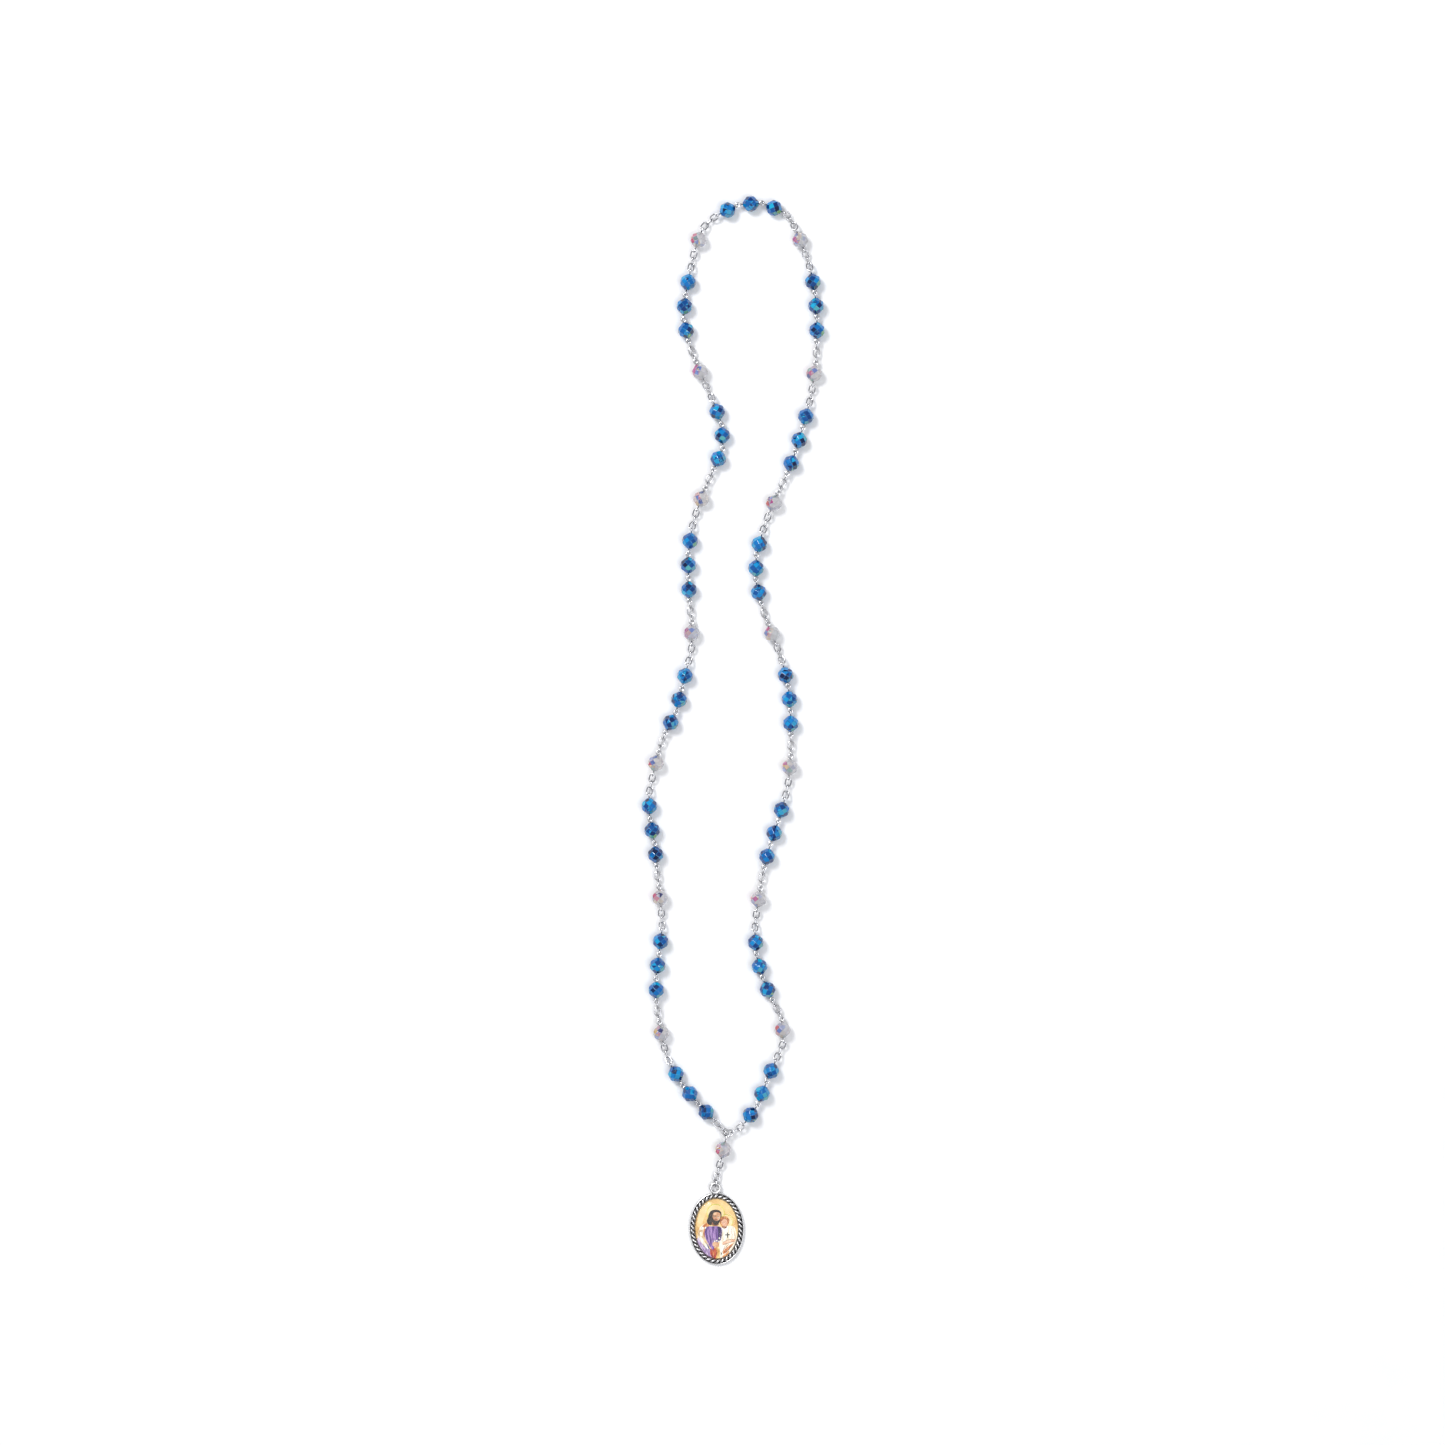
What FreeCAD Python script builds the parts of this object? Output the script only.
import FreeCAD
import Part
import math
import os

# Rosary laid out flat on a table: a closed loop of bead groups on wire, a drop and an oval medal.
# Units are millimetres. X is to the right, Y runs up the loop and Z is up from the table.
# Masters are drawn once about the origin and placed along the loop by chained wire contacts.

SIZES = {
    "bead_facet": 2.8,  # centre of a bead to its side facets
    "bead_facet_mid": 2.77,  # centre to the facets next to the girdle
    "bead_half_length": 2.95,
    "bore_radius": 0.5,
    "pin_wire": 0.3,
    "pin_shank": 0.27,
    "eye_radius": 0.8,
    "eye_centre": 4.15,  # bead centre to the centre of either eye
    "drop_eye_radius": 1.35,
    "link_wire": 0.275,
    "link_radius": 1.075,
    "link_straight": 1.09,
    "slack": 0.13,  # air between two wires that hang in each other
    "ring_wire": 0.3,
    "ring_radius": 1.45,
    "ring_height": 1.71,
    "ring_lead": 0.5,  # last link's end wire to the ring's centre, along the drop
    "bar_lead": 0.25,  # ring's centre to the bail's top bar
    "bail_height": 1.5,
    "bail_wire": 0.5,
    "bail_radius": 1.75,
    "medal_width": 20.4,
    "medal_height": 26.8,
    "medal_plate": 1.3,
    "rope_wire": 0.72,
    "picture_width": 16.2,
    "picture_height": 22.6,
    "picture_thick": 0.25,
    "dome_rise": 1.15,
    "bead_height": 2.81,  # bead axis above the table
    "link_height": 1.41,  # an edge-on middle link's centre above the table
}

FACETS = 7
STEP = 180.0 / FACETS
ROPE_TURNS = 38

# The line the loop is laid along, from the junction up the left side and down the right.
DROP_TILT = 13.5
JUNCTION = (-2.5, -153.0)
LOOP = [
    (-9.5, -144.5), (-15.5, -137.9), (-21.0, -130.8), (-26.9, -115.2), (-28.9, -99.5),
    (-28.8, -90.2), (-27.2, -81.0), (-27.3, -64.3), (-29.0, -48.2), (-30.0, -39.2),
    (-31.8, -30.2), (-29.6, -14.9), (-25.4, -1.2),
    (-21.2, 7.3), (-19.1, 16.3),
    (-15.4, 32.7), (-16.5, 49.5), (-16.8, 58.4), (-16.7, 68.1), (-13.0, 84.2),
    (-6.7, 99.0), (-3.5, 107.5), (-4.8, 116.6), (-11.2, 131.8), (-17.2, 147.5),
    (-18.8, 156.7), (-17.4, 165.8), (-14.2, 181.2), (-11.3, 188.6), (-3.9, 194.6), (4.2, 198.0),
    (12.9, 197.6), (20.6, 193.2), (24.4, 186.2), (29.6, 171.0), (31.1, 161.9), (31.6, 152.5),
    (30.8, 135.6), (27.7, 118.7), (25.2, 110.0), (22.4, 101.2), (15.4, 85.7),
    (10.0, 70.7), (8.3, 61.9), (9.3, 52.3), (14.3, 36.8), (19.8, 21.0),
    (21.3, 12.0), (21.7, 2.2), (21.4, -14.7), (18.1, -31.0), (15.3, -39.3),
    (12.5, -48.2), (9.5, -64.2), (8.3, -81.3), (10.2, -90.5), (13.2, -98.9),
    (19.5, -113.3), (14.0, -128.6), (10.9, -137.2), (6.8, -145.3),
]
MEDAL_TILT = 1.9
RING_TILT = 75.0
JUNCTION_APART = 0.13  # each end link's place to the side of the drop pin's upper eye
ROWS = 12  # hinge rows between the crown of the loop and the junction
FLAT, EDGE = 0, 90  # roll of a ring about the chain: lying flat, or standing on edge


def vec(x, y, z=0.0):
    return FreeCAD.Vector(x, y, z)


def along(direction, roll=0.0):
    """Rotation whose x axis is the direction and whose y axis is level, rolled about x."""
    x = FreeCAD.Vector(direction).normalize()
    y = vec(0, 0, 1).cross(x).normalize()
    base = FreeCAD.Rotation(x, y, x.cross(y), "XYZ")
    return base.multiply(FreeCAD.Rotation(vec(1, 0, 0), roll))


# ---------------------------------------------------------------- the chain laid out straight


def wire(kind, owner, first, last, slope=0.0, bead=""):
    """One ring or pin of the chain: its arcs at both ends and the straight between them."""
    s = SIZES
    radius, thick, straight = s["link_radius"], s["link_wire"], s["link_straight"]
    if kind == "pin":
        radius, thick, straight = s["eye_radius"], s["pin_wire"], 2 * s["eye_centre"]
    return {
        "kind": kind, "owner": owner, "first": first, "last": last, "slope": slope,
        "radius": radius, "thick": thick, "straight": straight, "bead": bead,
    }


def sloped(degrees):
    return vec(math.cos(math.radians(degrees)), 0, math.sin(math.radians(degrees)))


def segment(pattern, owners, first=True, last=True):
    """Three links between two eyes, sagging to the table. Returns links and contact slopes."""
    s = SIZES
    fall = s["bead_height"] - s["link_height"]
    reach = 2 * s["link_radius"] + s["link_straight"] - s["slack"] - 2 * s["link_wire"]
    reach += s["eye_radius"] + s["link_radius"] - s["slack"] - s["link_wire"] - s["pin_wire"]
    dip = math.degrees(math.asin(fall / reach))
    rolls = (FLAT, EDGE, FLAT)
    if pattern == "edge":
        dip = 31.0
        rolls = (EDGE, FLAT, EDGE)
    slopes = (-dip, 0.0, dip)
    links = [wire("link", owners[i], rolls[i], rolls[i], slopes[i]) for i in range(3)]
    return links, [-dip, -dip, dip, dip]


def junction_slope(lift, rise):
    """Slope of the edge-on link that leaves a junction link lying 'lift' above the beads."""
    s = SIZES
    grip = s["slack"] + 2 * s["link_wire"]
    near = s["link_radius"] - grip + s["link_straight"]
    reach = 2 * s["link_radius"] - grip + s["link_straight"]
    reach += s["eye_radius"] + s["link_radius"] - s["slack"] - s["link_wire"] - s["pin_wire"]
    return math.degrees(math.asin((lift + reach * math.sin(math.radians(rise))) / near))


def loop_chain():
    """Every pin and link of the loop in order, with the slope of each contact normal."""
    items = []
    contacts = []
    lift = SIZES["link_wire"] + 0.1
    rise = 8.0
    side = ["left_%02d" % (ROWS - i) for i in range(ROWS)] + ["crown"]
    side += ["right_%02d" % (i + 1) for i in range(ROWS)]
    place = 0
    dip = junction_slope(lift, rise)
    items.append(wire("link", side[0], FLAT, FLAT, 0.0))
    items.append(wire("link", side[0], EDGE, EDGE, -dip))
    items.append(wire("link", side[0], FLAT, FLAT, rise))
    contacts += [-dip, rise, rise]
    hinges = []
    triples = 0
    crystals = 0
    before = EDGE
    for group in range(29):
        is_triple = group % 2 == 0
        rigid_next = group in (0, 27) or side[place] == "crown" and group != 15
        name = side[place]
        next_name = name if rigid_next or group == 28 else side[place + 1]
        row = ROWS - place if place < ROWS else place - ROWS + 1
        pattern = "flat" if rigid_next or group == 28 or row % 2 else "edge"
        after = EDGE if pattern == "flat" else FLAT
        if is_triple:
            triples += 1
            bead = "blue_beads_%02d" % triples
            items.append(wire("pin", name, before, FLAT, 0.0, bead))
            items.append(wire("pin", name, EDGE, FLAT, 0.0, bead))
            items.append(wire("pin", name, EDGE, after, 0.0, bead))
            contacts += [0.0, 0.0]
        else:
            crystals += 1
            bead = "crystal_%02d" % crystals
            items.append(wire("pin", name, before, after, 0.0, bead))
        if group == 28:
            break
        going_up = place < ROWS
        owners = [name] * 3
        if not rigid_next:
            flat_side = 2 if pattern == "flat" else 1
            if going_up:
                owners = [next_name if i >= flat_side else name for i in range(3)]
                hinges.append((row, "left", len(items) + flat_side, -1))
            else:
                owners = [name if i <= 2 - flat_side else next_name for i in range(3)]
                hinges.append((row, "right", len(items) + 2 - flat_side, 1))
            place += 1
        links, slopes = segment(pattern, owners)
        items += links
        contacts += slopes
        before = after
    dip = junction_slope(-lift, rise)
    items.append(wire("link", side[-1], FLAT, FLAT, -rise))
    items.append(wire("link", side[-1], EDGE, EDGE, dip))
    items.append(wire("link", side[-1], FLAT, FLAT, 0.0))
    contacts += [-rise, -rise, dip]
    return items, contacts, hinges, lift


def stretch(items, contacts, height):
    """Lays the chain out straight. Adds each item's centre and its two contact stations."""
    centre = vec(0, 0, height)
    items[0]["from"] = 0.0
    for i, item in enumerate(items):
        lie = sloped(item["slope"])
        item["mid"] = centre + lie * (item["straight"] / 2)
        far = centre + lie * item["straight"]
        if i + 1 == len(items):
            item["to"] = far.x
            break
        other = items[i + 1]
        normal = sloped(contacts[i])
        grip = item["thick"] + other["thick"] + SIZES["slack"]
        out = normal if item["last"] == EDGE else lie
        back = normal if other["first"] == EDGE else sloped(other["slope"])
        apex = far + out * item["radius"]
        item["to"] = (apex - normal * (grip / 2)).x
        other["from"] = item["to"]
        centre = apex - normal * grip + back * other["radius"]
    return items


# ---------------------------------------------------------------- the chain laid on the table


def route(scale):
    """Dense line through the loop's points, scaled about the junction's arc centre."""
    tilt = math.radians(DROP_TILT)
    up = vec(math.sin(tilt), math.cos(tilt))
    start = vec(JUNCTION[0], JUNCTION[1]) + up * SIZES["link_radius"]
    apart = vec(up.y, -up.x) * JUNCTION_APART
    points = [start + (vec(x, y) - start) * scale for x, y in LOOP]
    points = [start - apart] + points + [start + apart]
    curve = Part.BSplineCurve()
    curve.interpolate(points)
    return curve.discretize(Number=6000)


def march(items, scale):
    """Steps the contact stations along the line. Returns their places and what is left over."""
    line = route(scale)
    places = [line[0]]
    at = 0
    for item in items:
        step = item["to"] - item["from"]
        here = places[-1]
        while at + 1 < len(line) and (line[at + 1] - here).Length < step:
            at += 1
        if at + 1 >= len(line):
            aim = (line[-1] - line[-60]).normalize()
            places.append(here + aim * step)
            continue
        low, high = 0.0, 1.0
        for _ in range(40):
            mid = (low + high) / 2
            point = line[at] + (line[at + 1] - line[at]) * mid
            if (point - here).Length < step:
                low = mid
            else:
                high = mid
        places.append(line[at] + (line[at + 1] - line[at]) * high)
    left = (line[-1] - places[-1]).Length
    past = at + 1 >= len(line)
    return places, -left if past else left


def settle(items):
    """Scales the line until the last contact station lands on the junction."""
    low, high = 0.9, 1.1
    for _ in range(48):
        mid = (low + high) / 2
        places, left = march(items, mid)
        if left < 0:
            low = mid
        else:
            high = mid
    places, left = march(items, high)
    for i, item in enumerate(items):
        flat = (places[i + 1] - places[i]).normalize()
        rise = math.tan(math.radians(item["slope"]))
        item["dir"] = vec(flat.x, flat.y, rise).normalize()
        item["pos"] = places[i] + flat * (item["mid"].x - item["from"])
        item["pos"].z = item["mid"].z
    return high


def drop_chain():
    """Pin, three links, ring and bail below the junction, as placed items."""
    s = SIZES
    tilt = math.radians(DROP_TILT)
    down = vec(-math.sin(tilt), -math.cos(tilt))
    axis = vec(JUNCTION[0], JUNCTION[1], s["bead_height"])
    hold = 0.31 + s["link_wire"] + s["pin_wire"] + 0.1
    pin = wire("pin", "drop", EDGE, EDGE, 0.0, "crystal_15")
    near = s["drop_eye_radius"] + s["eye_centre"] - s["eye_radius"]
    pin["pos"] = axis + down * (s["drop_eye_radius"] - hold + near)
    pin["dir"] = vec(down.x, down.y, 0.0)
    links, slopes = segment("flat", ["drop"] * 3)
    links[2]["slope"] = 0.0
    chain = [pin] + links
    centre = vec(-s["eye_centre"], 0, s["bead_height"])
    contacts = slopes[:2] + [0.0]
    pin["from"] = 0.0
    for i, item in enumerate(chain):
        lie = sloped(item["slope"])
        item["mid"] = centre + lie * (item["straight"] / 2)
        far = centre + lie * item["straight"]
        if i == 3:
            break
        other = chain[i + 1]
        normal = sloped(contacts[i])
        grip = item["thick"] + other["thick"] + s["slack"]
        out = normal if item["last"] == EDGE else lie
        back = normal if other["first"] == EDGE else sloped(other["slope"])
        centre = far + out * item["radius"] - normal * grip + back * other["radius"]
    for item in chain[1:]:
        item["pos"] = vec(pin["pos"].x, pin["pos"].y) + down * item["mid"].x
        item["pos"].z = item["mid"].z
        item["dir"] = down * math.cos(math.radians(item["slope"]))
        item["dir"].z = math.sin(math.radians(item["slope"]))
    last = chain[3]
    apex = last["pos"] + down * (s["link_straight"] / 2 + s["link_radius"])
    ring = apex + down * s["ring_lead"]
    ring.z = s["ring_height"]
    bar = ring + down * s["bar_lead"]
    bar.z = s["bail_height"]
    lean = math.radians(MEDAL_TILT)
    medal_down = vec(math.sin(lean), -math.cos(lean))
    bail = bar + medal_down * s["bail_radius"]
    medal = bail + medal_down * (s["medal_height"] / 2 + s["bail_radius"] + 0.1)
    medal.z = 0.0
    return {
        "axis": axis, "down": down, "chain": chain, "apex": apex, "ring": ring,
        "bar": bar, "bail": bail, "medal": medal, "medal_down": medal_down,
    }


def hinge_points(items, hinges):
    """One axis per row through both arms, on the lying link's end wire of each."""
    found = {}
    for row in range(1, ROWS + 1):
        pair = {side: (items[i], way) for r, side, i, way in hinges if r == row}
        spots = {side: item["pos"] for side, (item, way) in pair.items()}
        for _ in range(8):
            across = (spots["right"] - spots["left"]).normalize()
            for side, (item, way) in pair.items():
                lie = item["dir"] * way
                centre = item["pos"] + lie * (item["straight"] / 2)
                turn = along(item["dir"])
                normal = turn.multVec(vec(0, 0, 1))
                out = normal.cross(across)
                if out.dot(lie) < 0:
                    out = out * -1
                spots[side] = centre + out.normalize() * item["radius"]
        found[row] = (spots["left"], spots["right"], across)
    return found


def layout():
    """All placed items, the hinge rows and the drop, shifted so that the outline is centred."""
    items, contacts, hinges, lift = loop_chain()
    stretch(items, contacts, SIZES["bead_height"] + lift)
    scale = settle(items)
    drop = drop_chain()
    rows = hinge_points(items, hinges)
    girdle = 3.05
    left = min(i["pos"].x for i in items) - girdle
    right = max(i["pos"].x for i in items) + girdle
    top = max(i["pos"].y for i in items) + girdle
    bottom = drop["medal"].y - SIZES["medal_height"] / 2
    shift = vec(-(left + right) / 2, -(top + bottom) / 2)
    for item in items + drop["chain"]:
        item["pos"] = item["pos"] + shift
    for key in ("axis", "apex", "ring", "bar", "bail", "medal"):
        drop[key] = drop[key] + shift
    rows = {k: (a + shift, b + shift, u) for k, (a, b, u) in rows.items()}
    return {"items": items, "drop": drop, "rows": rows, "scale": scale, "shift": shift}


# ---------------------------------------------------------------- masters


def cell(name):
    return "Sizes." + name


def bind(obj, **fields):
    for field, text in fields.items():
        obj.setExpression(field, text)


def add(doc, kind, name, place=None, **fields):
    obj = doc.addObject(kind, name)
    bind(obj, **fields)
    if place is not None:
        obj.Placement = place
    return obj


def at(x, y, z, axis=(0, 0, 1), angle=0.0):
    return FreeCAD.Placement(vec(x, y, z), FreeCAD.Rotation(vec(*axis), angle))


def make_sheet(doc):
    sheet = doc.addObject("Spreadsheet::Sheet", "Sizes")
    for number, (name, value) in enumerate(SIZES.items(), start=1):
        sheet.set("A%d" % number, name)
        sheet.set("B%d" % number, "=%s mm" % value)
        sheet.setAlias("B%d" % number, name)
    doc.recompute()
    return sheet


def make_bead(doc):
    """Seven-sided faceted ball about z, with a bore."""
    body = add(
        doc, "Part::Prism", "bead_girdle", at(0, 0, -SIZES["bead_half_length"], angle=STEP),
        Circumradius=cell("bead_facet") + " / cos(%.6f deg)" % STEP,
        Height="2 * " + cell("bead_half_length"),
    )
    body.Polygon = FACETS
    block = 9.0
    rows = [(STEP, STEP, "bead_facet_mid"), (2 * STEP, 0.0, "bead_facet")]
    for lift, start, name in rows:
        for side in (1, -1):
            for k in range(FACETS):
                turn = FreeCAD.Rotation(vec(0, 0, 1), start + 2 * STEP * k)
                tip = FreeCAD.Rotation(vec(0, 1, 0), 90 - side * lift)
                spin = turn.multiply(tip)
                corner = spin.multVec(vec(-block / 2, -block / 2, SIZES[name]))
                cutter = add(doc, "Part::Box", "facet", FreeCAD.Placement(corner, spin))
                cutter.Length = block
                cutter.Width = block
                cutter.Height = block
                cut = doc.addObject("Part::Cut", "bead_step")
                cut.Base = body
                cut.Tool = cutter
                body = cut
    bore = add(
        doc, "Part::Cylinder", "bead_bore", at(0, 0, -5), Radius=cell("bore_radius"),
    )
    bore.Height = 10
    bead = doc.addObject("Part::Cut", "master_bead")
    bead.Base = body
    bead.Tool = bore
    return bead


def make_pin(doc, name, first, last, first_radius="eye_radius"):
    """Bead pin along x with an eye at each end."""
    s = SIZES
    near = s["eye_centre"] - s["eye_radius"]
    parts = []
    ends = [(-near - s[first_radius], first, first_radius), (near + s["eye_radius"], last, "eye_radius")]
    for x, roll, radius in ends:
        parts.append(
            add(
                doc, "Part::Torus", name + "_eye", at(x, 0, 0, (1, 0, 0), roll),
                Radius1=cell(radius), Radius2=cell("pin_wire"),
            )
        )
    shank = add(
        doc, "Part::Cylinder", name + "_shank", at(-near, 0, 0, (0, 1, 0), 90),
        Radius=cell("pin_shank"), Height="2 * (%s - %s)" % (cell("eye_centre"), cell("eye_radius")),
    )
    pin = doc.addObject("Part::MultiFuse", name)
    pin.Shapes = parts + [shank]
    return pin


def make_link(doc):
    """Oval wire link lying in the xy plane, long along x."""
    parts = []
    half = SIZES["link_straight"] / 2
    for way, turn in ((1, -90), (-1, 90)):
        arc = add(
            doc, "Part::Torus", "link_arc", at(way * half, 0, 0, angle=turn),
            Radius1=cell("link_radius"), Radius2=cell("link_wire"),
        )
        arc.Angle3 = 180
        parts.append(arc)
        bar = add(
            doc, "Part::Cylinder", "link_bar",
            at(-half, way * SIZES["link_radius"], 0, (0, 1, 0), 90),
            Radius=cell("link_wire"), Height=cell("link_straight"),
        )
        parts.append(bar)
    link = doc.addObject("Part::MultiFuse", "master_link")
    link.Shapes = parts
    return link


def ellipse(doc, name, width, height, grow=0.0, z=0.0):
    """Upright ellipse; width and height are cells and grow adds to each radius."""
    obj = add(
        doc, "Part::Ellipse", name, at(0, 0, z, angle=90),
        MajorRadius="%s / 2 + %s mm" % (cell(height), grow),
        MinorRadius="%s / 2 + %s mm" % (cell(width), grow),
    )
    return obj


def plate(doc, name, outline, thick):
    obj = doc.addObject("Part::Extrusion", name)
    obj.Base = outline
    obj.DirMode = "Custom"
    obj.Dir = vec(0, 0, 1)
    obj.Solid = True
    bind(obj, LengthFwd=thick)
    return obj


def make_frame(doc):
    """Medal body about its own centre: plate, smooth rim, twisted rope border and bail."""
    s = SIZES
    base = plate(doc, "medal_plate_body", ellipse(doc, "plate_line", "medal_width", "medal_height"),
                 cell("medal_plate"))
    recess = plate(doc, "picture_recess",
                   ellipse(doc, "recess_line", "picture_width", "picture_height", 0.03, 0.7),
                   "5 mm")
    line = ellipse(doc, "rope_line", "medal_width", "medal_height", -1.25, s["medal_plate"] - 0.05)
    section = add(
        doc, "Part::Circle", "rope_section",
        at(0, s["medal_height"] / 2 - 1.25, s["medal_plate"] - 0.05, (0, 1, 0), 90),
        Radius=cell("rope_wire"),
    )
    rope = doc.addObject("Part::Sweep", "rope_body")
    rope.Sections = [section]
    rope.Spine = (line, ["Edge1"])
    rope.Solid = True
    rope.Frenet = True
    a = s["medal_width"] / 2 - 1.25
    b = s["medal_height"] / 2 - 1.25
    grooves = []
    # equal steps along the ellipse, so that the twist is even
    count = 1440
    spots = []
    for i in range(count + 1):
        angle = 2 * math.pi * i / count
        spots.append(vec(a * math.cos(angle), b * math.sin(angle)))
    lengths = [0.0]
    for i in range(count):
        lengths.append(lengths[-1] + (spots[i + 1] - spots[i]).Length)
    step = lengths[-1] / ROPE_TURNS
    for k in range(ROPE_TURNS):
        i = max(j for j in range(count) if lengths[j] <= k * step + 1e-9)
        tangent = (spots[i + 1] - spots[i]).normalize()
        heading = math.degrees(math.atan2(tangent.y, tangent.x)) + 52
        spin = FreeCAD.Rotation(vec(0, 0, 1), heading).multiply(
            FreeCAD.Rotation(vec(0, 1, 0), 90))
        centre = spots[i] + vec(0, 0, s["medal_plate"] + s["rope_wire"] + 0.02)
        start = centre - spin.multVec(vec(0, 0, 1.6))
        groove = add(doc, "Part::Cylinder", "rope_groove", FreeCAD.Placement(start, spin))
        groove.Radius = 0.26
        groove.Height = 3.2
        grooves.append(groove)
    tools = doc.addObject("Part::Compound", "rope_grooves")
    tools.Links = grooves
    twisted = doc.addObject("Part::Cut", "rope_twisted")
    twisted.Base = rope
    twisted.Tool = tools
    rim = plate(doc, "rim_body", ellipse(doc, "rim_line", "medal_width", "medal_height", 0.0, 0.0),
                cell("medal_plate") + " + 0.35 mm")
    rim_in = plate(doc, "rim_inside",
                   ellipse(doc, "rim_in_line", "medal_width", "medal_height", -0.55, -0.5), "4 mm")
    rim_ring = doc.addObject("Part::Cut", "rim_ring")
    rim_ring.Base = rim
    rim_ring.Tool = rim_in
    bail_y = s["medal_height"] / 2 + s["bail_radius"] + 0.1
    bail = add(
        doc, "Part::Torus", "bail_ring", at(0, bail_y, s["bail_height"]),
        Radius1=cell("bail_radius"), Radius2=cell("bail_wire"),
    )
    solid = doc.addObject("Part::MultiFuse", "frame_solid")
    solid.Shapes = [base, rim_ring, twisted, bail]
    cut = doc.addObject("Part::Cut", "frame_open")
    cut.Base = solid
    cut.Tool = recess
    return cut


def make_dome(doc):
    """Clear oval cover, flat below and rounded above."""
    s = SIZES
    full = add(
        doc, "Part::Ellipsoid", "dome_full", at(0, 0, 0.97),
        Radius1=cell("dome_rise") + " + 0.35 mm",
        Radius2=cell("picture_width") + " / 2 - 0.02 mm",
        Radius3=cell("picture_height") + " / 2 - 0.02 mm",
    )
    full.Angle1 = -90
    keep = plate(doc, "dome_keep",
                 ellipse(doc, "dome_line", "picture_width", "picture_height", 1.0, 0.97), "4 mm")
    dome = doc.addObject("Part::Common", "dome_solid")
    dome.Base = full
    dome.Tool = keep
    return dome


# ---------------------------------------------------------------- the sub-parts


def group(doc, name, home, members):
    """Named sub-part holding copies of masters, placed at its own home."""
    links = []
    back = home.inverse()
    for master, place in members:
        copy = doc.addObject("App::Link", name + "_copy")
        copy.LinkedObject = master
        copy.LinkPlacement = back.multiply(place)
        links.append(copy)
    node = doc.addObject("Part::Compound", name)
    node.Label = name
    node.Links = links
    node.Placement = home
    return node


def bead_place(item):
    turn = along(item["dir"])
    return FreeCAD.Placement(item["pos"], turn.multiply(FreeCAD.Rotation(vec(0, 1, 0), 90)))


def wire_place(item, masters):
    """Master and placement for one link or pin."""
    if item["kind"] == "link":
        return masters["link"], FreeCAD.Placement(item["pos"], along(item["dir"], item["first"]))
    if item["first"] == item["last"]:
        return masters["pin_same"], FreeCAD.Placement(item["pos"], along(item["dir"], item["first"]))
    return masters["pin_turned"], FreeCAD.Placement(item["pos"], along(item["dir"], item["first"]))


def build(doc):
    make_sheet(doc)
    plan = layout()
    masters = {
        "bead": make_bead(doc),
        "link": make_link(doc),
        "pin_same": make_pin(doc, "master_pin_same", FLAT, FLAT),
        "pin_turned": make_pin(doc, "master_pin_turned", FLAT, EDGE),
        "pin_drop": make_pin(doc, "master_pin_drop", EDGE, EDGE, "drop_eye_radius"),
    }
    owners = {}
    beads = {}
    for item in plan["items"]:
        owners.setdefault(item["owner"], []).append(wire_place(item, masters))
        if item["bead"]:
            beads.setdefault(item["bead"], []).append(item)
    nodes = []
    for name, members in beads.items():
        middle = members[len(members) // 2]
        places = [(masters["bead"], bead_place(m)) for m in members]
        nodes.append(group(doc, name, FreeCAD.Placement(middle["pos"], along(middle["dir"])), places))
    for owner, members in owners.items():
        home = members[len(members) // 2][1]
        nodes.append(group(doc, "chain_" + owner, home, members))
    drop = plan["drop"]
    pin = drop["chain"][0]
    nodes.append(group(doc, pin["bead"], FreeCAD.Placement(pin["pos"], along(pin["dir"])),
                       [(masters["bead"], bead_place(pin))]))
    members = [(masters["pin_drop"], FreeCAD.Placement(pin["pos"], along(pin["dir"])))]
    members += [wire_place(item, masters) for item in drop["chain"][1:]]
    nodes.append(group(doc, "chain_drop", members[0][1], members))
    tip = along(drop["down"]).multiply(FreeCAD.Rotation(vec(1, 0, 0), RING_TILT))
    ring = add(
        doc, "Part::Torus", "medal_ring", FreeCAD.Placement(drop["ring"], tip),
        Radius1=cell("ring_radius"), Radius2=cell("ring_wire"),
    )
    ring.Label = "medal_ring"
    nodes.append(ring)
    home = FreeCAD.Placement(drop["medal"], FreeCAD.Rotation(vec(0, 0, 1), MEDAL_TILT))
    nodes.append(group(doc, "medal_frame", home, [(make_frame(doc), home)]))
    picture = plate(doc, "picture_solid",
                    ellipse(doc, "picture_line", "picture_width", "picture_height", -0.02, 0.71),
                    cell("picture_thick"))
    nodes.append(group(doc, "medal_picture", home, [(picture, home)]))
    nodes.append(group(doc, "medal_dome", home, [(make_dome(doc), home)]))
    doc.recompute()
    for obj in doc.Objects:
        bad = [state for state in obj.State if state in ("Invalid", "Error")]
        if bad:
            raise RuntimeError("%s is %s" % (obj.Label, bad))
    return nodes


def export(nodes):
    os.makedirs("parts", exist_ok=True)
    for node in nodes:
        shape = node.Shape
        if shape.isNull() or not shape.isValid() or not shape.Solids:
            raise RuntimeError("%s has no valid solid" % node.Label)
        shape.exportStep("parts/%s.step" % node.Label)


def main():
    doc = FreeCAD.newDocument("rosary")
    nodes = build(doc)
    export(nodes)
    print("%d sub-parts" % len(nodes))


if __name__ == "__main__":
    main()
